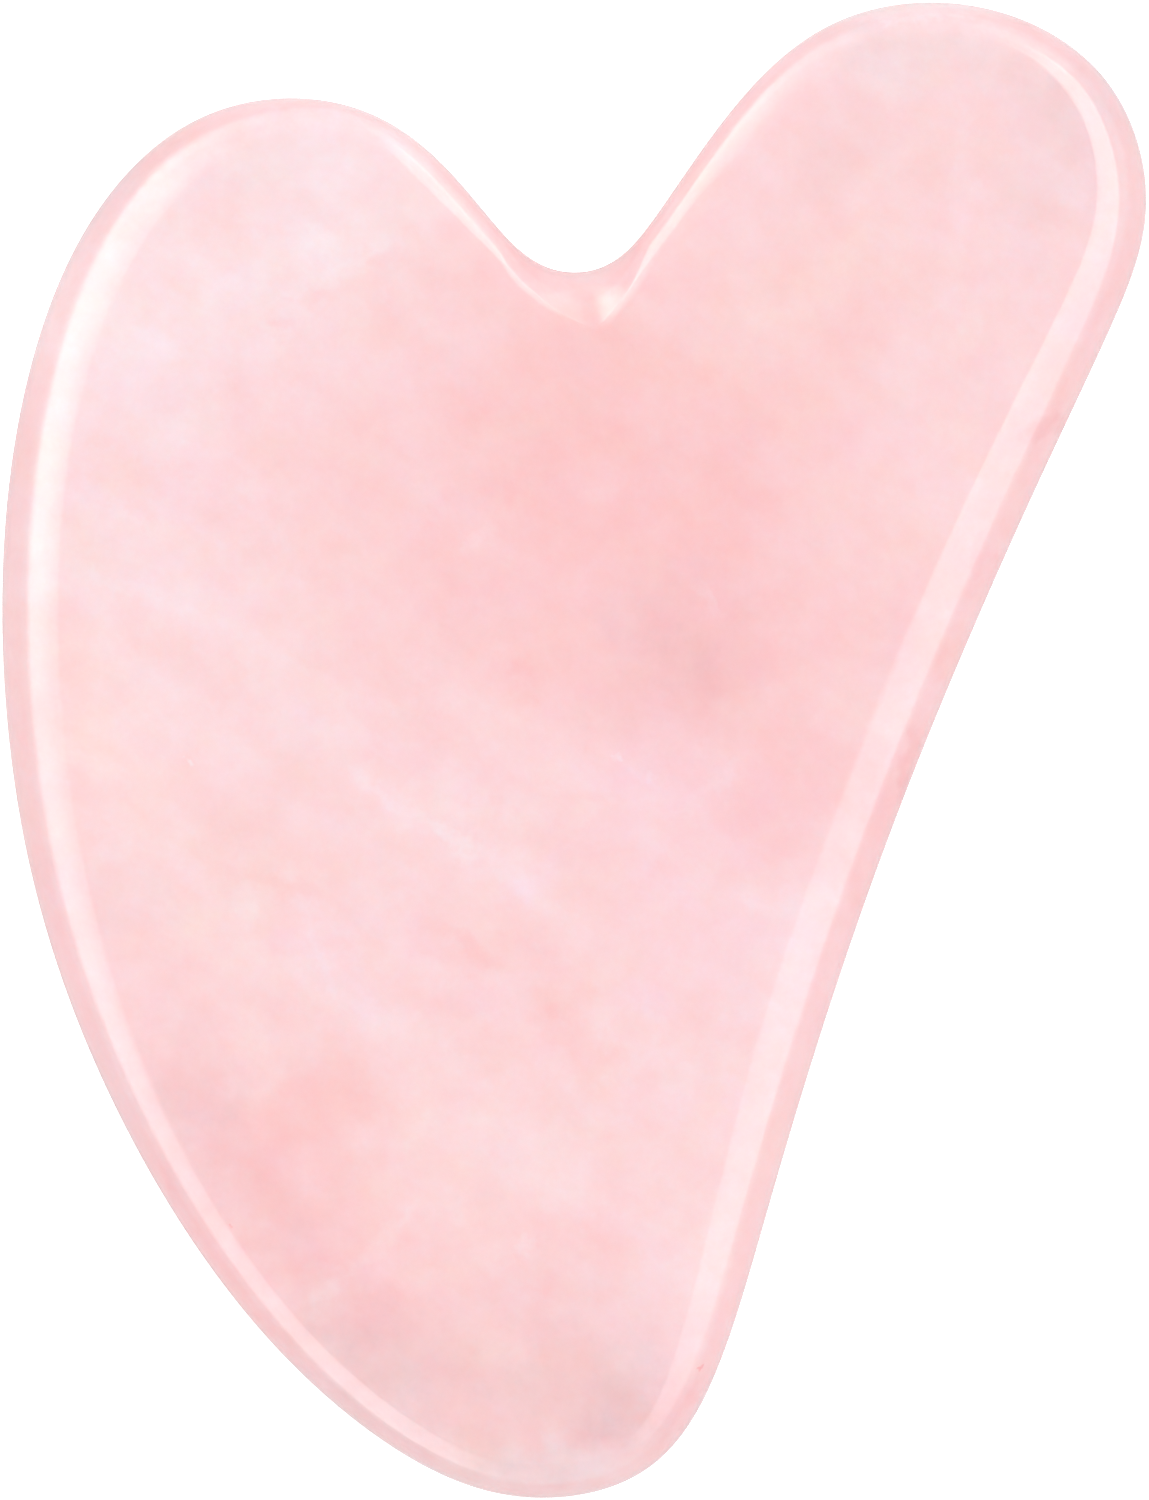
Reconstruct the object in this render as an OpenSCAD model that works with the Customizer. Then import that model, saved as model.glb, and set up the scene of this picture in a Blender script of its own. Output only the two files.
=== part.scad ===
// Heart-shaped gua sha stone.
//
// One flat plate of polished pink quartz with a rounded rim. Its outline is a smooth closed
// curve: a narrow tip, a straight side and a bowed side, and two lobes with a notch between.
// The plate lies on its back face. +Z is up through its thickness, +Y runs from the tip to
// the lobes, and the origin is on the back face, in the middle of the box the plate fills.

/* [Plate] */
// Length, from the tip to the top of the larger lobe
plate_length = 80; // [60:1:110]
// Width, across both lobes
plate_width = 61.2; // [50:0.2:80]
// Thickness, between the two polished faces
plate_thickness = 6; // [4:0.5:9]

/* [Rim] */
// Width of the rounding at the rim, against the widths drawn in rim_points
rounding_scale = 1; // [0.6:0.05:1.2]
// Height that the two flat faces together cut off the full rounding, as a share of thickness
rounding_overshoot = 0.01; // [0.01:0.01:0.1]

/* [Smoothness] */
// Facets along the rim between one rim point and the next
facets_per_span = 6; // [3:1:8]
// Facets across the rim, from one face to the other
facets_across_rim = 12; // [8:2:16]

/* [Hidden] */

// Passes of averaging that settle the curve on its points, each halving what is left
settling_passes = 20;

// Angle between one ring of facets and the next
ring_angle = 180 / facets_across_rim;

// Width of the rounding as far as the flat face, as a share of the width it would have if it
// ran on to its full height.
width_left = lookup(
    1 / (1 + rounding_overshoot),
    [for (angle = [0 : ring_angle : 90]) [sin(angle), 1 - cos(angle)]]
);

// Points that the rim runs through, anticlockwise from the tip, each with the distance from
// the rim to the flat face there: [x, y, width]. The rounding is widest along the two long
// sides and narrowest on the two flanks of the notch.
rim_points = [
    // tip
    [-1.5, -40, 1.9],
    [4.25, -38.2, 2],
    [7.75, -32.9, 2.5],
    // straight side, a little hollow towards the tip
    [10.25, -25, 2.9],
    [13.5, -14.25, 3.25],
    [18.25, -1, 3.1],
    [24.25, 13, 2.95],
    [28.8, 22.8, 2.7],
    // larger lobe
    [30.6, 29.5, 2.5],
    [28.25, 36, 2],
    [22, 39.6, 1.6],
    [15, 39.25, 1.9],
    [9.5, 35.4, 2.2],
    // notch
    [5.25, 29.75, 1.3],
    [2.5, 26.35, 1.4],
    [-0.25, 25.5, 2.6],
    [-3.25, 27, 1.15],
    [-7, 31.25, 1.2],
    // smaller lobe
    [-12.5, 34.5, 1.5],
    [-20.25, 33.6, 2.4],
    [-27, 26.1, 2.9],
    // bowed side
    [-30.4, 12, 2.85],
    [-29.25, -5.5, 2.7],
    [-23.75, -20.6, 2.2],
    [-16.25, -31.6, 1.95],
    [-8.25, -38.15, 1.9]
];

// Control points of the closed cubic curve through the given points.
function controls(points, passes = settling_passes) =
    passes == 0 ? points :
    let (n = len(points), c = controls(points, passes - 1))
    [for (i = [0 : n - 1]) (6 * points[i] - c[(i + n - 1) % n] - c[(i + 1) % n]) / 4];

// Point at the fraction t of the span from control point i to the next.
function on_curve(c, i, t) =
    let (n = len(c), s = 1 - t)
    (s * s * s * c[(i + n - 1) % n]
        + (4 - 6 * t * t + 3 * t * t * t) * c[i]
        + (4 - 6 * s * s + 3 * s * s * s) * c[(i + 1) % n]
        + t * t * t * c[(i + 2) % n]) / 6;

// The whole closed curve, as [x, y, width].
function closed_curve(points) =
    let (c = controls(points))
    [for (i = [0 : len(c) - 1], k = [0 : facets_per_span - 1]) on_curve(c, i, k / facets_per_span)];

// Full extent and middle of a list of numbers.
function extent(values) = max(values) - min(values);
function middle(values) = (max(values) + min(values)) / 2;

// The curve moved and stretched to the plate's own length and width, with the full width of
// the rounding at each point.
function fitted(curve) =
    let (
        xs = [for (p = curve) p.x],
        ys = [for (p = curve) p.y],
        x_scale = plate_width / extent(xs),
        y_scale = plate_length / extent(ys)
    )
    [for (p = curve) [
        (p.x - middle(xs)) * x_scale,
        (p.y - middle(ys)) * y_scale,
        p.z * rounding_scale / width_left
    ]];

// Unit vector pointing into the plate from column i of the rim.
function inward(rim, i) =
    let (n = len(rim), along = rim[(i + 1) % n] - rim[(i + n - 1) % n])
    [-along.y, along.x] / norm([along.x, along.y]);

// One ring of the rounding, at an angle from -90 (back face) through 0 (widest) to 90 (front).
function ring(rim, angle) =
    let (half_height = plate_thickness / 2 * (1 + rounding_overshoot))
    [for (i = [0 : len(rim) - 1])
        let (
            step_in = rim[i].z * (1 - cos(angle)) * inward(rim, i),
            z = plate_thickness / 2 + half_height * sin(angle)
        )
        [rim[i].x + step_in.x, rim[i].y + step_in.y, z]];

// The plate with its rounding closed over at full height.
module rounded_blank(rim) {
    columns = len(rim);
    rings = [for (k = [0 : facets_across_rim]) ring(rim, -90 + k * ring_angle)];
    // from this point the whole rim is in sight, so each face can be a fan about it
    fan_y = plate_length / 6;
    back_centre = [0, fan_y, rings[0][0].z];
    front_centre = [0, fan_y, rings[facets_across_rim][0].z];
    points = [for (r = rings) each r, back_centre, front_centre];
    back = len(points) - 2;
    front = len(points) - 1;
    last_ring = facets_across_rim * columns;
    sides = [
        for (k = [0 : facets_across_rim - 1], i = [0 : columns - 1])
            let (
                next = (i + 1) % columns,
                a = k * columns + i,
                b = k * columns + next,
                c = b + columns,
                d = a + columns
            )
            each [[a, d, c], [a, c, b]]
    ];
    caps = [
        for (i = [0 : columns - 1])
            let (next = (i + 1) % columns)
            each [[back, i, next], [front, last_ring + next, last_ring + i]]
    ];
    polyhedron(points = points, faces = concat(sides, caps), convexity = 4);
}

// The finished plate: the blank, lapped flat on both faces.
module stone_plate() {
    color("#f6cfcf")
        intersection() {
            rounded_blank(fitted(closed_curve(rim_points)));
            translate([-plate_width, -plate_length, 0])
                cube([2 * plate_width, 2 * plate_length, plate_thickness]);
        }
}

stone_plate();
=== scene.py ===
"""Looks of the heart-shaped gua sha stone: one polished plate of pink quartz on a white table.

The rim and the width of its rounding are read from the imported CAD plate, and the plate is made
again from them as one fine, closed mesh. Lengths in this script are millimetres on the plate,
and M turns them into Blender's metres.
"""

import math

import bpy
import numpy as np
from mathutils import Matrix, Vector
from mathutils.geometry import delaunay_2d_cdt


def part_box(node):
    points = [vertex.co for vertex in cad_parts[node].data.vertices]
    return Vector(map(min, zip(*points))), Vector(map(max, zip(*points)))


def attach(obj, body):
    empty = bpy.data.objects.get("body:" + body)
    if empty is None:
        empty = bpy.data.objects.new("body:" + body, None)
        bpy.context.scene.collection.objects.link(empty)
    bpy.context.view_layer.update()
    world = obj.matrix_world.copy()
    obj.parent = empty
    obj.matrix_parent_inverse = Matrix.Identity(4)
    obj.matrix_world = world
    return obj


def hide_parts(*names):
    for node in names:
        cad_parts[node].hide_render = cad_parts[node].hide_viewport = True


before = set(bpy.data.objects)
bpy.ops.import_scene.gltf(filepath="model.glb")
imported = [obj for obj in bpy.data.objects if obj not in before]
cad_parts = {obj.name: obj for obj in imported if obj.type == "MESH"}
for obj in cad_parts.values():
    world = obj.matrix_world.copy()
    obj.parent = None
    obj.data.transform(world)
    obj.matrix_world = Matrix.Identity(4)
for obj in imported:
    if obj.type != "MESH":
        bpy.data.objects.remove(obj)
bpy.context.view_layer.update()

M = 0.001
NODE = "stone_plate"
LOW, HIGH = (np.array(corner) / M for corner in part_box(NODE))
SIZE = HIGH - LOW
MID_Y = (LOW[1] + HIGH[1]) / 2
MID_Z = (LOW[2] + HIGH[2]) / 2
# the patches and veins are placed on a plate of this length, and follow the real one
UNIT = SIZE[1] / 80

# ---------------------------------------------------------------------------------------------
# Shape
# ---------------------------------------------------------------------------------------------
COLUMN_STEP = 0.25         # along the rim, from one column of the mesh to the next
FINE_STEPS = 20000         # steps round the rim that its length is measured in
RINGS = 36                 # rings of the rounding, from the back face to the front
EVENNESS = 0.6             # 1 would space the rings evenly, less crowds them at the faces
CREASE_ANGLE = math.radians(82)   # where the flat faces cut the rounding's half ellipse
CREASE_RING = 0.26         # how far inside the crease the flat face's first ring lies
NOTCH_RING = 0.6           # the same in the notch, whose crease is polished softer
LATTICE_STEP = 0.6         # between the points inside a flat face
LATTICE_GAP = 0.6          # kept clear beside the face's outline, in lattice steps
# lines that the crease follows in the notch, each from (x, y) to (x, y): down one flank,
# across the bottom and up the other flank
NOTCH_LINES = [
    ((-8.3, 30.3), (-1.25, 23.55)),
    ((-1.2, 23.35), (1.2, 22.4)),
    ((1.2, 22.35), (7.25, 30.3)),
]
NOTCH_BLEND = 0.35         # how far those lines are rounded into each other
NOTCH_REACH = 9            # lines farther from the rim than this are left out
# how far along the rim from the notch's bottom these fade out, from the first distance to the
# second: the lines on the right flank and on the left, the slope that is ground there instead
# of a round, and the fuller shoulder of the round
RIGHT_LINES, LEFT_LINES = (6.0, 9.0), (10.0, 14.0)
CUT_FADE = (2.0, 4.4)
SHOULDER_FADE = (14.0, 22.0)
SLOPE_POWER = 2.0          # 1 would be a straight slope from the rim to the crease
SHOULDER_POWER = 1.4       # 1 would be an elliptic round
UNDULATION = 0.01          # depth of the waves that hand polishing leaves in the faces


def ordered_rim(points):
    """The CAD plate's widest ring, anticlockwise, starting at its lowest point."""
    # the whole rim is in sight from here
    middle = np.array([0.0, LOW[1] + SIZE[1] * 2 / 3])
    angle = np.arctan2(points[:, 1] - middle[1], points[:, 0] - middle[0])
    ring = points[np.argsort(angle)]
    return np.roll(ring, -int(np.argmin(ring[:, 1])), axis=0)


def inward_of(ring):
    """Directions that point into the plate from each point of a ring."""
    along = np.roll(ring, -1, axis=0) - np.roll(ring, 1, axis=0)
    along /= np.linalg.norm(along, axis=1)[:, None]
    return np.stack([-along[:, 1], along[:, 0]], axis=1)


def cad_rim_and_widths():
    """Points of the CAD rim, and how far inside each one the flat face starts."""
    co = np.array([v.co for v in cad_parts[NODE].data.vertices]) / M
    tolerance = 1e-3
    rim = np.unique(np.round(co[np.abs(co[:, 2] - MID_Z) < tolerance][:, :2], 5), axis=0)
    rim = ordered_rim(rim)
    face = np.unique(np.round(co[np.abs(co[:, 2] - HIGH[2]) < tolerance][:, :2], 5), axis=0)
    widths = []
    for point, inward in zip(rim, inward_of(rim)):
        to_face = face - point
        ahead = to_face @ inward
        aside = np.abs(to_face @ np.array([-inward[1], inward[0]]))
        aside[(ahead <= 0) | (ahead > SIZE[2])] = np.inf
        widths.append(ahead[np.argmin(aside)])
    return rim, np.array(widths)


def closed_spline(values, knots, at):
    """Smooth closed curve through values at knots, read at other places along it.

    There is one knot more than there are values, because the curve ends where it starts.
    """
    count = len(values)
    step = np.diff(knots)
    slope = (np.roll(values, -1, axis=0) - values) / step[:, None]
    matrix = np.zeros((count, count))
    index = np.arange(count)
    matrix[index, index] = 2 * (step + np.roll(step, 1))
    matrix[index, (index - 1) % count] = np.roll(step, 1)
    matrix[index, (index + 1) % count] = step
    bend = np.linalg.solve(matrix, 6 * (slope - np.roll(slope, 1, axis=0)))
    k = np.clip(np.searchsorted(knots, at, side="right") - 1, 0, count - 1)
    after = (k + 1) % count
    t = (at - knots[k])[:, None]
    h = step[k][:, None]
    return (
        values[k]
        + t * (slope[k] - h * (2 * bend[k] + bend[after]) / 6)
        + t * t * bend[k] / 2
        + t ** 3 * (bend[after] - bend[k]) / (6 * h)
    )


def evenly_spaced(rim, widths):
    """The rim and its widths at even steps along a smooth curve through the CAD's points."""
    closed = np.vstack([rim, rim[:1]])
    knots = np.concatenate([[0], np.cumsum(np.linalg.norm(np.diff(closed, axis=0), axis=1))])
    values = np.column_stack([rim, widths])
    fine = closed_spline(values, knots, np.linspace(0, knots[-1], FINE_STEPS, endpoint=False))
    around = np.vstack([fine, fine[:1]])
    run = np.concatenate([[0], np.cumsum(np.linalg.norm(np.diff(around[:, :2], axis=0), axis=1))])
    count = round(run[-1] / COLUMN_STEP)
    at = np.linspace(0, run[-1], count, endpoint=False)
    even = np.column_stack([np.interp(at, run, around[:, k]) for k in range(3)])
    return even[:, :2], even[:, 2]


def reach_of_line(points, directions, start, end):
    """How far from each point, along its direction, the line through start and end is."""
    across = np.array([-(end - start)[1], (end - start)[0]])
    return ((start - points) @ across) / (directions @ across)


def fade(away, near, far):
    """1 nearer than near, 0 farther than far, and smooth between."""
    share = np.clip((far - away) / (far - near), 0, 1)
    return share * share * (3 - 2 * share)


def with_notch_crease(rim, inward, widths):
    """Widths whose crease runs along straight lines through the notch.

    With them come three shares for each column: how far its crease follows those lines, how
    far it is ground as a slope instead of a round, and how far its round has a full shoulder.
    """
    count = len(rim)
    between_lobes = (np.abs(rim[:, 0]) < SIZE[0] / 8) & (rim[:, 1] > MID_Y)
    bottom = int(np.argmin(np.where(between_lobes, rim[:, 1], np.inf)))
    past = ((np.arange(count) - bottom + count // 2) % count - count // 2) * COLUMN_STEP
    away = np.abs(past)
    blend = 0
    for start, end in NOTCH_LINES:
        reach = reach_of_line(rim, inward, np.array(start) * UNIT, np.array(end) * UNIT)
        reach = np.clip(np.where(reach > 0, reach, np.inf), 0, NOTCH_REACH)
        blend = blend + np.exp(-reach / NOTCH_BLEND)
    lines = -NOTCH_BLEND * np.log(blend)
    straight = np.where(past > 0, fade(away, *LEFT_LINES), fade(away, *RIGHT_LINES))
    slope = fade(away, *CUT_FADE)
    shoulder = fade(away, *SHOULDER_FADE)
    return widths + (lines - widths) * straight, straight, slope, shoulder


def polished_wave(xy):
    """Shallow waves over the plate, from 0 to 1."""
    waves = [(21, 20, 0.3), (13, 75, 1.1), (17, 130, 2.0), (9, 160, 0.7), (7.5, 40, 2.6)]
    total = 0
    for length, heading, phase in waves:
        direction = np.array([math.cos(math.radians(heading)), math.sin(math.radians(heading))])
        total = total + np.sin(xy @ direction * 2 * math.pi / length + phase)
    return total / (2 * len(waves)) + 0.5


def inside(points, outline):
    """Which points lie inside a closed outline."""
    x, y = points[:, 0][:, None], points[:, 1][:, None]
    ax, ay = outline[:, 0][None], outline[:, 1][None]
    bx, by = np.roll(outline[:, 0], -1)[None], np.roll(outline[:, 1], -1)[None]
    crosses = (ay > y) != (by > y)
    run = np.where(by == ay, 1.0, by - ay)
    at = ax + (y - ay) * (bx - ax) / run
    return (crosses & (x < at)).sum(axis=1) % 2 == 1


def face_points(outline):
    """A lattice inside a flat face, clear of its outline."""
    rows = np.arange(LOW[1], HIGH[1], LATTICE_STEP * math.sqrt(3) / 2)
    points = []
    for k, y in enumerate(rows):
        xs = np.arange(LOW[0], HIGH[0], LATTICE_STEP) + (k % 2) * LATTICE_STEP / 2
        points.append(np.column_stack([xs, np.full(len(xs), y)]))
    points = np.vstack(points)
    points = points[inside(points, outline)]
    near = np.array([np.min(np.hypot(*(outline - p).T)) for p in points])
    return points[near > LATTICE_STEP * LATTICE_GAP]


def rounding(rim, inward, widths, slope, shoulder):
    """Rings of the rounding, one above another, from the back face to the front."""
    round_power = 1 + (SHOULDER_POWER - 1) * shoulder
    full_half = SIZE[2] / 2 / math.sin(CREASE_ANGLE)
    rings = []
    for u in np.linspace(-1, 1, RINGS + 1):
        crowded = EVENNESS * u + (1 - EVENNESS) * math.sin(u * math.pi / 2)
        angle = CREASE_ANGLE * crowded
        rounded = ((1 - math.cos(angle)) / (1 - math.cos(CREASE_ANGLE))) ** round_power
        sloping = (abs(math.sin(angle)) / math.sin(CREASE_ANGLE)) ** SLOPE_POWER
        reach = widths * (rounded + (sloping - rounded) * slope)
        ring = rim + inward * reach[:, None]
        height = MID_Z + full_half * math.sin(angle)
        rings.append(np.column_stack([ring, np.full(len(rim), height)]))
    return rings


def face_triangles(flat, count):
    """Triangles, anticlockwise, over a flat face whose first count points are its outline."""
    outline = list(range(count))
    result = delaunay_2d_cdt([Vector(p) for p in flat], [], [outline], 1, 1e-9)
    out_points, triangles, origins = result[0], result[2], result[3]
    if len(out_points) != len(flat):
        raise RuntimeError("the flat face's triangles added or lost a point")
    to_flat = [origin[0] for origin in origins]
    turned = []
    for triangle in triangles:
        a, b, c = (to_flat[k] for k in triangle)
        pa, pb, pc = flat[a], flat[b], flat[c]
        turn = (pb[0] - pa[0]) * (pc[1] - pa[1]) - (pb[1] - pa[1]) * (pc[0] - pa[0])
        turned.append((a, b, c) if turn >= 0 else (a, c, b))
    return turned


def plate_mesh():
    """The plate: the rounding as rings of columns, and a fine lattice over each flat face."""
    rim, widths = evenly_spaced(*cad_rim_and_widths())
    inward = inward_of(rim)
    widths, straight, slope, shoulder = with_notch_crease(rim, inward, widths)
    count = len(rim)
    rings = rounding(rim, inward, widths, slope, shoulder)
    crease = rings[-1][:, :2]
    first = crease + inward * (CREASE_RING + (NOTCH_RING - CREASE_RING) * straight)[:, None]
    flat = np.vstack([first, face_points(first)])
    front_face = np.column_stack([flat, np.full(len(flat), HIGH[2])])
    back_face = np.column_stack([flat, np.full(len(flat), LOW[2])])
    verts = np.vstack([*rings, front_face, back_face])
    sink = UNDULATION * polished_wave(verts[:, :2]) * (verts[:, 2] - MID_Z) / (SIZE[2] / 2)
    verts[:, 2] -= sink

    top = RINGS * count
    front = top + count
    back = front + len(flat)
    faces = []
    for i in range(count):
        j = (i + 1) % count
        for k in range(RINGS):
            a, b = k * count + i, k * count + j
            faces.append((a, b, b + count, a + count))
        faces.append((top + i, top + j, front + j, front + i))
        faces.append((j, i, back + i, back + j))
    for a, b, c in face_triangles(flat, count):
        faces.append((front + a, front + b, front + c))
        faces.append((back + a, back + c, back + b))
    return verts, faces


def make_plate(material):
    verts, faces = plate_mesh()
    mesh = bpy.data.meshes.new("polished_plate")
    mesh.from_pydata((verts * M).tolist(), [], faces)
    mesh.validate()
    mesh.shade_smooth()
    mesh.materials.append(material)
    plate = bpy.data.objects.new("polished_plate", mesh)
    bpy.context.scene.collection.objects.link(plate)
    return plate


# ---------------------------------------------------------------------------------------------
# Stone
# ---------------------------------------------------------------------------------------------
class Graph:
    """Short calls that add a node to a material or a world and give back its output."""

    def __init__(self, tree):
        self.tree = tree
        tree.nodes.clear()

    def add(self, kind, output=0, settings=None, **inputs):
        node = self.tree.nodes.new(kind)
        for name, value in (settings or {}).items():
            setattr(node, name, value)
        for name, value in inputs.items():
            self.put(node.inputs[name.replace("_", " ")], value)
        return node.outputs[output]

    def put(self, socket, value):
        if isinstance(value, bpy.types.NodeSocket):
            self.tree.links.new(value, socket)
        else:
            socket.default_value = value

    def math(self, operation, *values, clamp=False):
        node = self.tree.nodes.new("ShaderNodeMath")
        node.operation = operation
        node.use_clamp = clamp
        for socket, value in zip(node.inputs, values):
            self.put(socket, value)
        return node.outputs[0]

    def vector(self, operation, *values, output=0):
        node = self.tree.nodes.new("ShaderNodeVectorMath")
        node.operation = operation
        for socket, value in zip(node.inputs, values):
            self.put(socket, value)
        return node.outputs[output]

    def placed(self, vector, at, size, heading):
        """vector seen from a spot, with its axes turned by heading degrees and stretched."""
        return self.add(
            "ShaderNodeMapping",
            settings={"vector_type": "TEXTURE"},
            Vector=vector,
            Location=(*at, 0),
            Rotation=(0, 0, math.radians(heading)),
            Scale=(*size, 1e6),
        )

    def noise(self, vector, scale, detail, rough=0.5, shift=0.0, output=0):
        """Noise of about one blotch in every 1/scale millimetres, from 0 to 1."""
        moved = self.vector("ADD", vector, (shift, -shift, shift * 0.7))
        return self.add(
            "ShaderNodeTexNoise",
            output=output,
            Vector=moved,
            Scale=scale,
            Detail=detail,
            Roughness=rough,
        )

    def spots(self, vector, patches, result=0.0):
        """result with soft patches added: amount in a patch's middle, nothing beyond its size.

        Each patch is added before the next is made, out of plain sums only: a shader has room
        for few values that wait for others.
        """
        for at, (length, width), heading, amount in patches:
            turn = math.radians(heading)
            along = (math.cos(turn) / length, math.sin(turn) / length, 0)
            across = (-math.sin(turn) / width, math.cos(turn) / width, 0)
            away = self.vector("SUBTRACT", vector, (*at, 0))
            u = self.vector("DOT_PRODUCT", away, along, output=1)
            v = self.vector("DOT_PRODUCT", away, across, output=1)
            square = self.math("MULTIPLY_ADD", u, u, self.math("MULTIPLY", v, v))
            cover = self.math("MAXIMUM", self.math("SUBTRACT", 1.0, square), 0.0)
            result = self.math("MULTIPLY_ADD", self.math("POWER", cover, 1.5), amount, result)
        return result

    def total(self, values):
        result = values[0]
        for value in values[1:]:
            result = self.math("ADD", result, value)
        return result

    def slide(self, value, span, ends):
        """A smooth change from one end to the other as value crosses the span."""
        ramp = self.add(
            "ShaderNodeMapRange", settings={"interpolation_type": "SMOOTHSTEP"}, Value=value
        )
        inputs = ramp.node.inputs
        inputs["From Min"].default_value, inputs["From Max"].default_value = span
        inputs["To Min"].default_value, inputs["To Max"].default_value = ends
        return ramp

    def window(self, value, low, high, soft_low, soft_high):
        """1 between low and high, fading to 0 over soft_low below and soft_high above."""
        rise = self.slide(value, (low - soft_low, low), (0, 1))
        fall = self.slide(value, (high, high + soft_high), (1, 0))
        return self.math("MULTIPLY", rise, fall)

    def both(self, one, other):
        """Two shaders added up."""
        node = self.tree.nodes.new("ShaderNodeAddShader")
        self.put(node.inputs[0], one)
        self.put(node.inputs[1], other)
        return node.outputs[0]

    def finish(self, shader, kind="ShaderNodeOutputMaterial"):
        """shader becomes the surface that is rendered."""
        output = self.tree.nodes.new(kind)
        self.put(output.inputs["Surface"], shader)


def new_material(name):
    """A material, and the graph that its nodes are added to."""
    material = bpy.data.materials.new(name)
    material.use_nodes = True
    return material, Graph(material.node_tree)


# Patches of the plate: (x, y), (length, width), heading in degrees, amount.
# Paleness is counted in steps of an 8-bit green: plus is paler, and minus is deeper pink.
PALENESS = [
    # the deep pool below the notch, and its darkest core
    ((2, 12), (18, 18), 0, -12),
    ((1, 20), (10, 6), 10, -3),
    ((6.2, 6), (5, 7), 20, -6),
    ((13, 5), (6, 6), 0, -5),
    ((11.5, -3), (7, 6), 60, -10),
    ((10, 20), (8, 6), 40, 4),
    # the pale lobe
    ((-19.5, 26), (15, 8.5), 30, 11),
    ((-12.5, 31), (8, 5), 10, 6),
    ((-26, 16), (6, 13), -5, 6),
    ((-25, 3), (6, 14), 5, 4),
    ((-17, 29.5), (4, 2.5), 30, -4),
    ((-27, 20), (2.5, 2), 0, -4),
    ((-7.5, 28), (4, 3), 0, 4),
    ((-21, 12), (6, 7), 0, 3),
    # pale streaks across the middle, and the brightest vein
    ((-9, -1), (14, 3.2), -35, 3),
    ((-5.5, -4.6), (6.5, 1.3), -34, 4),
    ((-19, 9), (8, 3), -35, 4),
    ((-18, 0.5), (6, 3), -35, 4),
    ((-2.5, 0.5), (6, 2.4), -30, 4),
    ((-18, -10), (7, 2.5), -35, 4),
    ((-10, -14), (9, 2.2), -32, 4),
    ((11, -13), (4, 8), -12, 4),
    ((5, -16), (8, 2.5), -35, 3),
    ((-2, -22), (5, 3), -20, 6),
    ((1, -25), (5, 2), -35, 2),
    ((7, -24), (4, 8), -12, 3),
    # deep patches between them
    ((-4, -11), (5, 2.2), -30, -6),
    ((0, -16), (5.5, 2.6), -28, -8),
    ((-13, -19), (4, 4), 0, -9),
    ((-19, -19), (7, 5), -50, -12),
    ((-14.5, -25), (8, 6), -50, -12),
    ((-10.5, -31.5), (8, 5), -25, -12),
    ((-1, -34), (8, 6), 0, -9),
    ((3.5, -35), (4, 3), 60, -6),
    ((-4, -28.5), (6.5, 3.5), -30, -7),
    # the larger lobe
    ((14, 31.5), (5, 3.5), 30, -2),
    ((20, 37.5), (10, 4), 0, 5),
    # painted shade where a lobe's rim faces away from the notch, and three deep flecks in the side
    ((-25.5, 31.5), (6, 4), 45, -8),
    ((25.6, 17.3), (1.8, 0.8), 62, -10),
    ((22.3, 10.6), (1.6, 0.8), 62, -7),
    ((17.8, -1.5), (2.6, 0.9), 68, -10),
]
# Smoke greys the pink: grey clouds in the stone, such as the deep pool's core, and painted
# shade along the rim, mostly round the lower half and the lobes.
SMOKE_AND_RIM_SHADE = [
    ((5.5, 5.5), (5.5, 6.5), 20, 0.85),
    ((-20, -18.5), (6, 3.5), -60, 0.95),
    ((-16, -26), (9, 4), -52, 0.75),
    ((-9, -33.5), (10, 5.5), -25, 1.3),
    ((2, -35.5), (8.5, 6), 20, 1.5),
    ((14, 31.5), (5, 3.6), 30, 0.5),
    ((27.5, 32), (5, 7), 10, 0.75),
    ((17, 36.5), (9, 3), 0, 0.6),
    ((-25, 31), (7, 5), 40, 0.7),
    ((-25.5, -8), (4, 4), 0, 0.35),
    ((25.6, 17.3), (1.8, 0.9), 62, 0.5),
    ((17.8, -1.5), (2.6, 1.0), 68, 0.5),
]
# Warmth turns the pink towards peach (plus) or lilac (minus).
WARMTH = [
    ((-27, 0), (7, 9), 0, 0.7),
    ((-18, -7), (7, 5), -20, 0.8),
    ((12, 22.5), (8, 6), 30, 1.2),
    ((2, 20), (9, 7), 0, 0.5),
    ((-10, -22), (10, 6), -30, 0.6),
    ((-4, -33), (10, 7), 0, 0.5),
    ((1, -16), (4, 3), -30, 0.9),
    ((5.5, -1.5), (8, 6), -30, -1.3),
    ((8, -10), (8, 7), -30, -1.0),
    ((-22, 18), (9, 9), 20, -0.6),
    ((-23, 8), (5, 4), 0, -0.3),
    ((-13, -11), (6, 2.5), -35, -0.6),
    ((5, -30), (5, 6), 0, -0.6),
]
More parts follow.
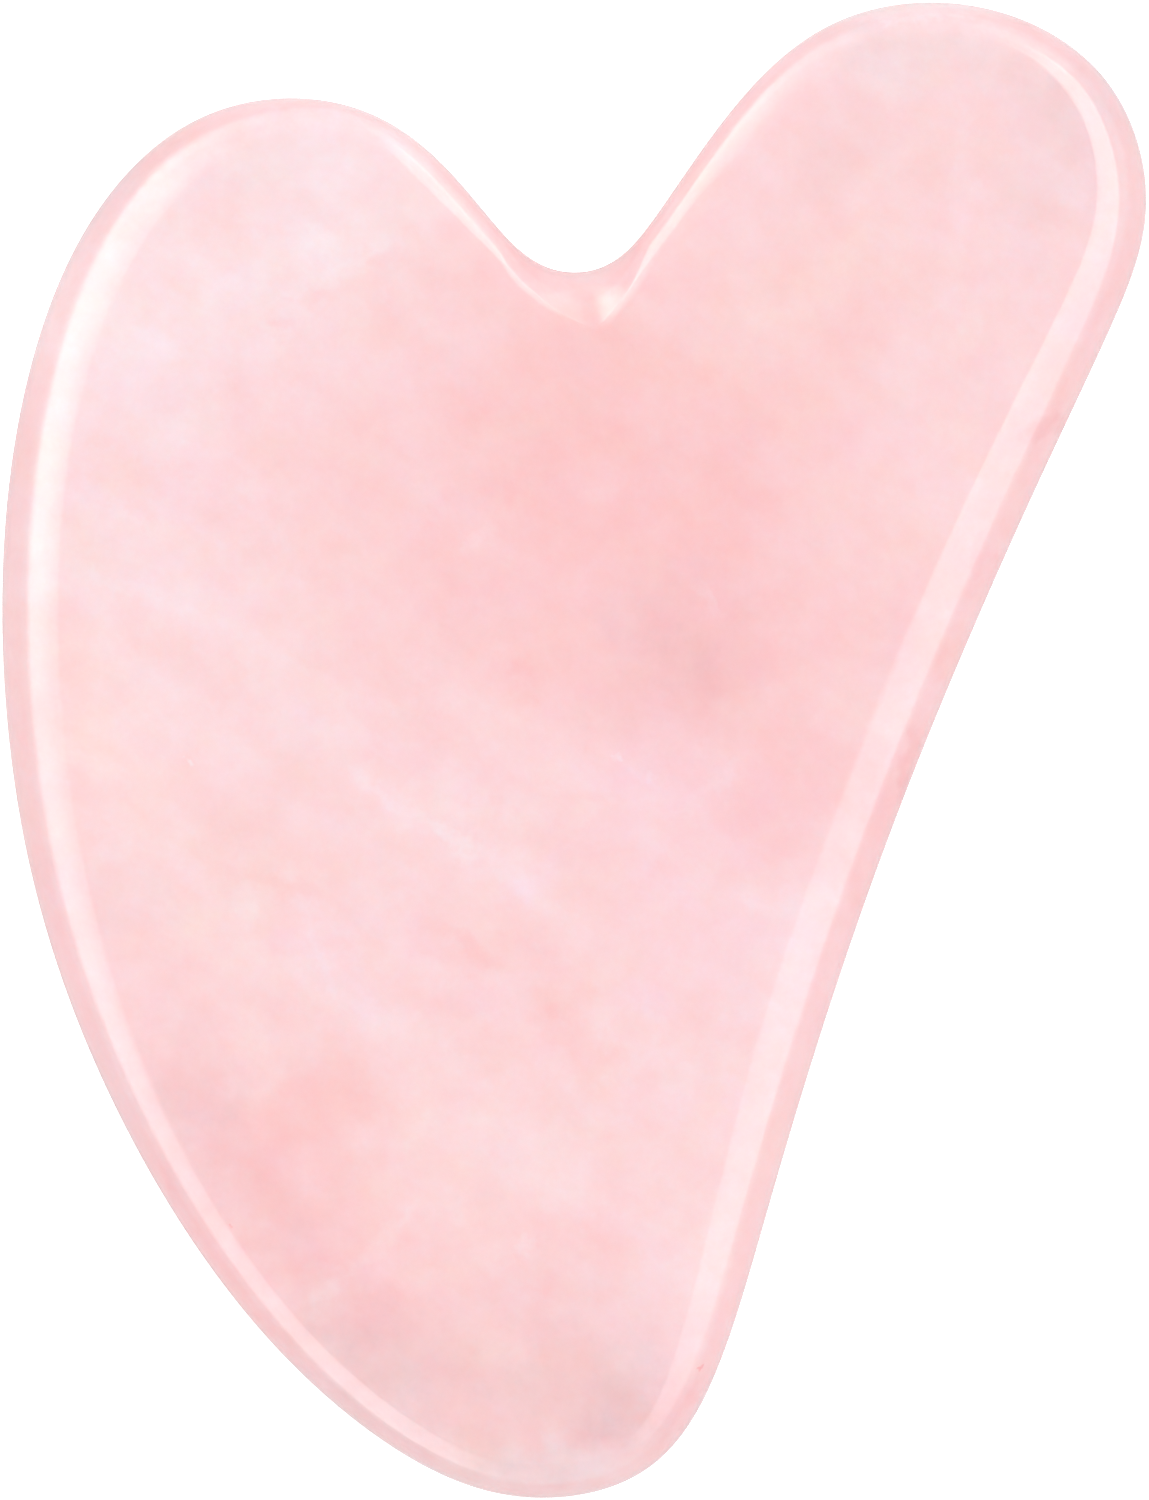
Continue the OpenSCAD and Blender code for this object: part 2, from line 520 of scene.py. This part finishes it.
# Smaller patches and thin veins, whose edges only ripple: paleness, smoke and warmth again,
# with a few painted highlights on the rim and painted shade along it.
FINE_PALENESS = [
    # the upper left
    ((-24, 14.7), (3.4, 2.2), -35, -8),
    ((-18.6, 12), (4, 2.4), -20, -5),
    ((-21, 7.6), (7, 2.4), -35, 4),
    ((-23.2, 2), (2, 1.6), 0, 4),
    ((-17, 3), (1.8, 1.4), 0, 3),
    ((-23, 13), (1.8, 1.4), 0, -4),
    ((-27.6, 3), (2.4, 8), 4, -5),
    ((-19.7, 17.2), (2.2, 2), 0, 7),
    ((-22, 22), (3, 1.6), -20, 4),
    ((-12, 26.7), (3.4, 2.2), 10, 6),
    ((-16.5, 29), (7, 2.4), 10, -5),
    ((-7, 26.5), (2.6, 2.4), 0, -3),
    ((-12.5, 25.6), (6, 0.5), 25, 3),
    # painted highlight along the top of the smaller lobe's rim
    ((-14.8, 34.6), (6, 0.6), -8, 4),
    # the middle
    ((-9.4, 0.3), (2.8, 2.4), 0, -7),
    ((-5.8, 2), (3.6, 1.4), -45, 4),
    ((-4, -4.2), (3.4, 1.6), -20, -7),
    ((-3, 4), (2.4, 1.6), 0, -4),
    ((6.3, 4.2), (3, 2.4), -10, -4),
    ((-7, 11.3), (1.8, 1.6), 0, -4),
    ((-9, 8), (2, 2), 0, 3),
    ((-4, 16.4), (2.2, 1.8), 0, 3),
    ((1, -5.6), (2.6, 1.6), -30, -4),
    ((10, -2), (2.4, 2), 0, -4),
    ((4, 8.2), (1.8, 1.8), 0, 3),
    ((8.4, 2.6), (2.2, 1.6), 0, 3),
    ((9.6, -6.8), (3.6, 2), -30, 4),
    ((8.6, 12), (5, 2.4), 20, -4),
    ((3.6, 23), (3.2, 1.6), -30, 6),
    # the larger lobe
    ((15, 23), (3.4, 2.4), 20, -7),
    ((11, 18.5), (9, 5), 30, -5),
    ((12, 26.6), (4, 3), 30, -4),
    ((18, 8), (3, 4.4), -24, -4),
    ((20.6, 29), (0.9, 6), -3, 3),
    ((17, 36), (3, 1.6), 0, 3),
    ((20.5, 20), (2.4, 2.4), 0, -3),
    ((16.5, 3.6), (2, 3), -24, -3),
    # painted highlight along the top of the larger lobe's rim
    ((17.9, 39.5), (7, 0.8), 0, 11),
    ((17.4, 13.2), (1.8, 2.8), -10, 5),
    ((27, 30), (1.4, 6), 0, 3),
    # below the middle
    ((-3, -11.6), (4, 1.6), -40, 4),
    ((-15, -13.4), (2.6, 1.6), 0, -5),
    ((-5.8, -13.2), (2.2, 1.6), 0, -6),
    ((2.2, -16.4), (3.4, 1.2), -50, -5),
    ((-17.6, -17.6), (2.4, 2.4), 0, 6),
    ((-18, -20.4), (4, 1.6), 10, 4),
    ((-10, -20.4), (2.8, 1.8), 30, 6),
    ((6, -22.2), (2.8, 1.8), -20, -4),
    ((0.6, -26), (4, 2.2), -20, -8),
    ((-2.8, -28), (3, 1.4), 10, -6),
    ((7, -27.4), (1.8, 3.2), -15, 5),
    ((-14, -29.2), (3.6, 1.8), 15, 9),
    ((5, -34.8), (2, 2.6), -30, -7),
    # painted reflection, faint, on the rim at the tip
    ((-2, -38.6), (8, 1.6), 0, 8),
    ((0.6, -36.4), (1.8, 1.4), 0, -5),
    ((1, -30), (2.4, 1.6), 0, -4),
    ((-4.5, -16.2), (1.8, 1.6), 0, -5),
    ((-8, -26.2), (2, 1.6), 0, -4),
    ((-4, -32.4), (2.6, 2), 0, 5),
    ((-12, -28), (2, 1.6), 0, 3),
    ((0.5, -28.4), (2.6, 1.6), 0, -3),
    # painted shade: the rounding of the straight side and of the lower left made a deeper pink
    ((18.4, -1), (19, 2), 68, -3),
    ((25.6, 20), (6, 1.3), 64, -3),
    ((-20.6, -24.8), (10, 2.4), -57, -5),
    # thin veins, pale and deep
    ((-10.5, -2.3), (2.8, 0.5), -38, 5),
    ((-6.8, -4.7), (2.8, 0.5), -33, 6),
    ((-5.2, 11.2), (1.6, 0.5), 45, 5),
    ((1.6, 13.8), (1.8, 0.7), 25, 4),
    ((7.2, 8.2), (1.8, 0.4), -50, 6),
    ((-5.6, -10.4), (3.2, 0.6), -33, -5),
    ((-16, -7.2), (5.5, 0.6), -18, -4),
    ((0.8, -3.2), (1.6, 0.7), 20, 4),
    ((6.8, -2.2), (3.2, 0.5), 42, 4),
    ((-10.5, -26.4), (4, 0.5), 46, 4),
    ((-14, 24), (2.4, 0.6), 15, -4),
    ((-10, 26.3), (2, 0.7), 48, -4),
    ((-23, 8.4), (5, 0.6), -22, 4),
    ((-14, -10), (6, 0.5), -68, 3),
    # spots and specks
    ((-17.5, -8.6), (1, 0.8), 0, 5),
    ((-2.8, -26.5), (0.8, 0.6), 0, 7),
    ((-13.3, -29), (1.2, 0.7), 20, 6),
    ((-1.2, -37), (0.9, 0.9), 30, 6),
    ((-3, 4.4), (1, 0.8), 0, -5),
    ((4.8, -6.6), (1, 0.8), -20, -5),
    ((-1, -14), (1, 0.7), -30, -6),
    ((-15.8, 22.5), (0.8, 0.6), 0, -6),
    ((-3.3, 13.8), (0.8, 0.8), 0, -4),
    ((-20.8, -0.7), (0.35, 0.2), -40, 12),
    ((2.3, -0.7), (0.4, 0.35), 0, 9),
    ((4.2, -1.4), (0.5, 0.3), -20, 5),
    ((-18.1, -25.6), (0.16, 0.16), 0, -25),
    ((6.8, -32.8), (0.14, 0.14), 0, -25),
]
# smoke in the stone, and painted shade along the rim
FINE_SMOKE_AND_RIM_SHADE = [
    ((-22.6, -19.4), (8, 2.4), -60, 0.8),
    ((-11, -33.6), (6, 3.2), -38, 0.7),
    ((-1, -31), (9, 5.5), 0, 0.75),
    ((2.5, -35.4), (5, 2.6), 40, 0.6),
    ((-4, -38.4), (9, 2.6), -8, 0.6),
    ((17.5, 38.2), (6.5, 2.6), 0, 0.9),
    ((25, 35.8), (5.5, 3.4), -50, 0.75),
    ((24, 30.5), (3, 5), 0, 0.35),
    ((-17.5, 32), (10, 2.6), 10, 0.55),
    ((-29.2, 6), (2.2, 20), 3, 0.55),
    ((-26.6, 28.2), (6.5, 1.8), 50, 0.9),
    ((-25.5, -17), (8, 1.6), -62, 0.4),
    ((28.6, 35), (5, 1.8), -58, 0.8),
    ((16, 2), (8, 2.4), 68, 0.3),
    ((6.3, 4.4), (3, 2.6), -10, 0.4),
]
FINE_WARMTH = [
    ((-24, 14.6), (2.8, 1.8), -30, 1.7),
    ((-18, 8.2), (3.2, 1.6), -35, -1.5),
    ((-26, 0.5), (2.4, 3), 0, 1.1),
    ((-15, -10.6), (1.8, 1.2), 0, -1.7),
    ((-2, -6.8), (3.8, 1.3), 40, -1.2),
    ((3.6, -13.2), (3.2, 1.2), -10, -1),
    ((8.4, -19), (1, 2), 0, -1.4),
    ((27.5, 32), (2, 4.5), 0, -1.3),
    ((12, 20.5), (3.6, 2.6), 0, -0.8),
    ((20.5, 22.5), (3.4, 2), 40, 0.8),
    ((7.5, -0.5), (3.6, 1.8), -40, 0.9),
    ((-20, -9), (2, 1.2), -30, 1),
    ((17.5, 8), (6, 1.5), 66, -0.6),
]

# Colours of the lit stone, each after the green that it is chosen by, all as sRGB steps. The
# first number is the green at a paleness of 0.
PALENESS_BASE = 215
TONES = [
    (185, (252, 185, 189)),
    (200, (254, 200, 202)),
    (215, (255, 215, 217)),
    (230, (255, 230, 233)),
    (245, (255, 244, 246)),
]
FACE_GLOSS = 0.045         # share of light that polished quartz reflects face on
REFRACTION = 1.54          # of quartz

DRIFT = 9                  # how far clouds push the larger patches' edges about
RIPPLE = 2.4               # the same for the smaller patches
VEIL_HEADING = -34         # degrees; thin pale veils are drawn out this way
VEIL_STRETCH = 3.6         # how many times longer than wide they are
VEIL_DRIFT = 0.3           # share of the drift that bends the veils
# how far each kind of mottling changes the paleness, in steps from end to end
VEIL_STEPS, FLECK_STEPS, CLOUD_STEPS = 13.5, 22, 6
# how far fine mottling and the veils change the warmth
HUE_STEPS, VEIL_WARMTH = 7, -2.5
# painted light: the bevel in the notch made paler
NOTCH_PAINTED_LIGHT = [((0.2, 25.6), (3.6, 3.4), 0, 12)]
# Each of these holds up to the first height from the middle of the rim and fades to nothing
# at the second: painted shade that turns the rounding a deeper pink, in steps, and a grey band
# of painted shade round the rim.
ROUND_SHADE_HEIGHTS, ROUND_SHADE_STEPS = (2.1, 2.45), -6
SHADE_BAND_HEIGHTS, BAND_SHADE = (0.9, 1.5), 0.7
HAZE_GAIN, HAZE_BASE = 1.2, 0.4      # the patches' smoke and painted rim shade are multiplied by haze * gain + base
WISPS = 2.0                # smoke where the haze is thick, outside the patches too
# what one unit of warmth and one of smoke or painted shade change in the red, green and blue
WARMTH_TINT = (0, 0.004, -0.028)
SMOKE_AND_SHADE_TINT = (-0.075, -0.02, -0.014)
SMOOTHEST, SMEARED = 0.025, 0.05     # roughness of the polish, and what smears add at most


def linear(step):
    value = step / 255
    return value / 12.92 if value <= 0.04045 else ((value + 0.055) / 1.055) ** 2.4


def base_colour(rgb):
    """Base colour of stone that looks like rgb once its gloss is added, in a white room."""
    return tuple(
        min(max((linear(step) - FACE_GLOSS) / (1 - FACE_GLOSS), 0), 1) for step in rgb
    )


def pushed_about(g, mm, reach, **noise):
    """A shift of each place on the plate that clouds of noise set."""
    clouds = g.noise(mm, output=1, **noise)
    either_way = g.vector("SUBTRACT", clouds, (0.5, 0.5, 0.5))
    return g.vector("MULTIPLY", either_way, (reach, reach, 0))


def swing(g, noise, steps):
    """Noise as a change to both sides of 0, of so many steps from end to end."""
    return g.math("MULTIPLY", g.math("SUBTRACT", noise, 0.5), steps)


def tone_colour(g, paleness):
    """Base colour of the stone at a paleness."""
    low, high = TONES[0][0], TONES[-1][0]
    along_tones = g.math(
        "MULTIPLY_ADD", paleness, 1 / (high - low), (PALENESS_BASE - low) / (high - low), clamp=True
    )
    ramp = g.tree.nodes.new("ShaderNodeValToRGB")
    g.put(ramp.inputs[0], along_tones)
    stops = ramp.color_ramp.elements
    stops[0].position, stops[1].position = 0, 1
    for step, _ in TONES[1:-1]:
        stops.new((step - low) / (high - low))
    for stop, (_, rgb) in zip(stops, TONES):
        stop.color = (*base_colour(rgb), 1)
    return ramp.outputs[0]


def tinted(g, colour, amount, tint):
    """colour with each channel changed by amount times its part of the tint."""
    channels = [g.math("MULTIPLY_ADD", amount, part, 1.0) if part else 1.0 for part in tint]
    factors = g.add("ShaderNodeCombineXYZ", X=channels[0], Y=channels[1], Z=channels[2])
    return g.vector("MULTIPLY", colour, factors)


def stone_material():
    material, g = new_material("rose_quartz")
    position = g.add("ShaderNodeTexCoord", output="Object")
    mm = g.vector("SCALE", position)
    mm.node.inputs["Scale"].default_value = 1 / (M * UNIT)
    drift = pushed_about(g, mm, DRIFT, scale=0.16, detail=4, rough=0.6)
    drifted = g.vector("ADD", mm, drift)
    rippled = g.vector(
        "ADD", mm, pushed_about(g, mm, RIPPLE, scale=0.7, detail=3, rough=0.6, shift=61.0)
    )
    z = g.add("ShaderNodeSeparateXYZ", Vector=mm).node.outputs["Z"]
    from_middle = g.math("ABSOLUTE", g.math("SUBTRACT", z, MID_Z / UNIT))

    # paleness: the patches, among them painted highlights and painted shade on the rim, veils
    # drawn out along one heading, and mottling of every size
    patches = g.spots(rippled, FINE_PALENESS, g.spots(drifted, PALENESS))
    bend = g.vector("MULTIPLY", drift, (VEIL_DRIFT, VEIL_DRIFT, 0))
    drawn_out = g.placed(g.vector("ADD", mm, bend), (0, 0), (VEIL_STRETCH, 1), VEIL_HEADING)
    veils = g.noise(drawn_out, scale=0.34, detail=4, rough=0.6, shift=3.1)
    flecks = g.noise(mm, scale=0.55, detail=7, rough=0.68, shift=7.7)
    clouds = g.noise(mm, scale=0.13, detail=3, rough=0.55, shift=12.4)
    mottling = g.total(
        [
            swing(g, veils, VEIL_STEPS),
            swing(g, flecks, FLECK_STEPS),
            swing(g, clouds, CLOUD_STEPS),
        ]
    )
    # painted shade: the rounding made a deeper pink than the faces
    painted_round_shade = g.slide(from_middle, [height / UNIT for height in ROUND_SHADE_HEIGHTS], (ROUND_SHADE_STEPS, 0))
    # painted light in the notch
    notch = g.spots(mm, NOTCH_PAINTED_LIGHT)
    colour = tone_colour(g, g.total([patches, mottling, notch, painted_round_shade]))

    hues = g.noise(mm, scale=0.34, detail=7, rough=0.82, shift=33.0)
    warmth = g.total(
        [
            g.spots(rippled, FINE_WARMTH, g.spots(drifted, WARMTH)),
            swing(g, hues, HUE_STEPS),
            swing(g, veils, VEIL_WARMTH),
        ]
    )
    colour = tinted(g, colour, warmth, WARMTH_TINT)

    # smoke in the stone, and painted shade along the rim
    smoke_and_shade = g.spots(rippled, FINE_SMOKE_AND_RIM_SHADE, g.spots(drifted, SMOKE_AND_RIM_SHADE))
    haze = g.noise(mm, scale=0.26, detail=6, rough=0.76, shift=51.0)
    smoke_and_shade = g.math("MULTIPLY", smoke_and_shade, g.math("MULTIPLY_ADD", haze, HAZE_GAIN, HAZE_BASE))
    # painted shade: a grey band round the middle of the rim
    painted_band_shade = g.slide(from_middle, [height / UNIT for height in SHADE_BAND_HEIGHTS], (BAND_SHADE, 0))
    smoke_and_shade = g.math("ADD", smoke_and_shade, painted_band_shade)
    smoke_and_shade = g.math("ADD", smoke_and_shade, g.math("MAXIMUM", swing(g, haze, WISPS), 0.0))
    colour = tinted(g, colour, smoke_and_shade, SMOKE_AND_SHADE_TINT)

    smears = g.noise(mm, scale=0.09, detail=3, rough=0.5, shift=21.0)
    shader = g.add(
        "ShaderNodeBsdfPrincipled",
        Base_Color=colour,
        Roughness=g.math("MULTIPLY_ADD", smears, SMEARED, SMOOTHEST),
        IOR=REFRACTION,
    )
    bsdf = shader.node
    bsdf.subsurface_method = "RANDOM_WALK"
    bsdf.inputs["Subsurface Weight"].default_value = 0.5
    bsdf.inputs["Subsurface Radius"].default_value = (1.0, 0.6, 0.6)
    bsdf.inputs["Subsurface Scale"].default_value = 1.5 * M
    g.finish(shader)
    return material


# ---------------------------------------------------------------------------------------------
# Table, light and camera
# ---------------------------------------------------------------------------------------------
TABLE_SIZE = 4000
TABLE_GAP = 0.05           # between table and stone, so that they never share a face
TABLE_GREY = 0.9
TABLE_GLOW = 0.75          # makes the table plain white to the camera, and lights nothing
ROOM_BRIGHTNESS = 1.04
ROOM_SLANT = (0.03, 0.12, 0)   # a little brighter behind the lobes than at the tip
TENT_RADIUS = 250
PANEL_BEND = 0.007         # degrees that a panel's edges drop, per square degree to its sides
STRIP_STRENGTH = 0.9
LENS, SENSOR = 1000, 36    # a very long lens, which shows no perspective
VIEW_HEIGHT = 80.24        # of the plane through the middle of the stone
VIEW_CENTRE = (0.01, 0.01) # the stone stands a hair off the picture's centre


def table():
    material, g = new_material("white_table")
    seen = g.add("ShaderNodeLightPath", output="Is Camera Ray")
    paper = g.add("ShaderNodeBsdfDiffuse", Color=(TABLE_GREY, TABLE_GREY, TABLE_GREY, 1))
    strength = g.math("MULTIPLY", seen, TABLE_GLOW)
    glow = g.add("ShaderNodeEmission", Color=(1, 1, 1, 1), Strength=strength)
    g.finish(g.both(paper, glow))
    half = TABLE_SIZE / 2 * M
    z = (LOW[2] - TABLE_GAP) * M
    mesh = bpy.data.meshes.new("table")
    corners = [(-half, -half, z), (half, -half, z), (half, half, z), (-half, half, z)]
    mesh.from_pydata(corners, [], [(0, 1, 2, 3)])
    mesh.materials.append(material)
    obj = bpy.data.objects.new("table", mesh)
    bpy.context.scene.collection.objects.link(obj)


def room_light():
    world = bpy.data.worlds.new("room")
    bpy.context.scene.world = world
    world.use_nodes = True
    g = Graph(world.node_tree)
    way = g.add("ShaderNodeTexCoord", output="Generated")
    slant = g.vector("DOT_PRODUCT", way, ROOM_SLANT, output=1)
    strength = g.math("ADD", slant, ROOM_BRIGHTNESS)
    sky = g.add("ShaderNodeBackground", Color=(1, 1, 1, 1), Strength=strength)
    g.finish(sky, "ShaderNodeOutputWorld")


def dropped(g, turn, tilt):
    """The tilt, less what a panel's edges drop away at a turn to its side."""
    return g.math("MULTIPLY_ADD", g.math("MULTIPLY", turn, turn), -PANEL_BEND, tilt)


def left_panel(g, from_left, tilt):
    """Strength of the left panel, which dims towards its top. All spans are in degrees."""
    # towards the lobes, each edge drops no further than it does at this turn
    top_edge = g.slide(dropped(g, g.math("MAXIMUM", from_left, -22.0), tilt), (4, 12), (0, 1))
    low_edge = g.slide(dropped(g, g.math("MAXIMUM", from_left, -46.0), tilt), (60, 74), (1, 0))
    upright = g.math("MULTIPLY", top_edge, low_edge)
    strength = g.math("MULTIPLY", g.window(from_left, -43, 52, 26, 38), upright)
    strength = g.math("MULTIPLY", strength, g.slide(tilt, (14, 52), (0.42, 1)))
    strength = g.math("MULTIPLY", strength, g.slide(from_left, (-20, 5), (3.8, 3.4)))
    strength = g.math("MULTIPLY", strength, g.slide(from_left, (15, 42), (1, 0.76)))
    glare = g.math("MULTIPLY_ADD", g.window(from_left, -16, -4, 12, 10), 0.25, 1.0)
    return g.math("MULTIPLY", strength, glare)


def right_panel(g, from_right, tilt):
    """Strength of the right panel, which is brighter beside the larger lobe."""
    centred = g.math("SUBTRACT", from_right, 8)
    upright = g.window(dropped(g, centred, tilt), 12, 60, 8, 7)
    strength = g.math("MULTIPLY", g.window(centred, -56, 38, 18, 26), upright)
    strength = g.math("MULTIPLY", strength, g.slide(from_right, (-32, 10), (1.6, 3.4)))
    strength = g.math("MULTIPLY", strength, g.slide(tilt, (12, 36), (0.8, 1)))
    # it ends above the table, so that it never whitens a face seen from low down
    return g.math("MULTIPLY", strength, g.slide(tilt, (68, 74), (1, 0)))


def back_strips(g, from_right, tilt):
    """Strength of two low strips behind the lobes, with a dark gap between them."""
    strips = g.math(
        "ADD", g.window(from_right, 50, 72, 6, 5), g.window(from_right, 108, 130, 5, 8)
    )
    strips = g.math("MULTIPLY", strips, g.window(tilt, 64, 90, 6, 5))
    return g.math("MULTIPLY", strips, STRIP_STRENGTH)


def light_tent():
    """Soft panels and strips on a dome, which only show in the polish."""
    material, g = new_material("soft_panels")
    way = g.vector("NORMALIZE", g.add("ShaderNodeTexCoord", output="Object"))
    parts = g.add("ShaderNodeSeparateXYZ", Vector=way).node.outputs
    # degrees from straight up, and turns about +Z from -180 to 180: from +X, and from -X
    tilt = g.math("DEGREES", g.math("ARCCOSINE", parts["Z"]))
    from_right = g.math("DEGREES", g.math("ARCTAN2", parts["Y"], parts["X"]))
    back = [g.math("MULTIPLY", parts[axis], -1) for axis in ("Y", "X")]
    from_left = g.math("DEGREES", g.math("ARCTAN2", *back))
    strength = g.total(
        [
            left_panel(g, from_left, tilt),
            right_panel(g, from_right, tilt),
            back_strips(g, from_right, tilt),
        ]
    )
    light = g.add("ShaderNodeEmission", Strength=strength)
    # the light is a little warmer from the side of the lobes
    warm = g.add("ShaderNodeCombineXYZ", X=1.0, Y=1.0, Z=g.slide(from_left, (-12, 6), (0.84, 1)))
    g.put(light.node.inputs["Color"], warm)
    g.finish(g.both(light, g.add("ShaderNodeBsdfTransparent")))

    bpy.ops.mesh.primitive_uv_sphere_add(segments=96, ring_count=48, radius=TENT_RADIUS * M)
    dome = bpy.context.object
    dome.name = "light_tent"
    dome.data.materials.append(material)
    dome.visible_camera = False
    dome.visible_diffuse = False
    dome.visible_transmission = False
    dome.visible_shadow = False


def camera():
    data = bpy.data.cameras.new("camera")
    data.sensor_fit = "VERTICAL"
    data.sensor_height = SENSOR
    data.lens = LENS
    data.clip_start = 10 * M
    data.clip_end = 20
    distance = VIEW_HEIGHT * UNIT * LENS / SENSOR
    obj = bpy.data.objects.new("camera", data)
    obj.location = (VIEW_CENTRE[0] * M, VIEW_CENTRE[1] * M, (MID_Z + distance) * M)
    bpy.context.scene.collection.objects.link(obj)
    bpy.context.scene.camera = obj


camera()
room_light()
table()
light_tent()
bpy.context.scene.view_settings.view_transform = "Standard"

plate = make_plate(stone_material())
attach(plate, "root")
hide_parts(NODE)
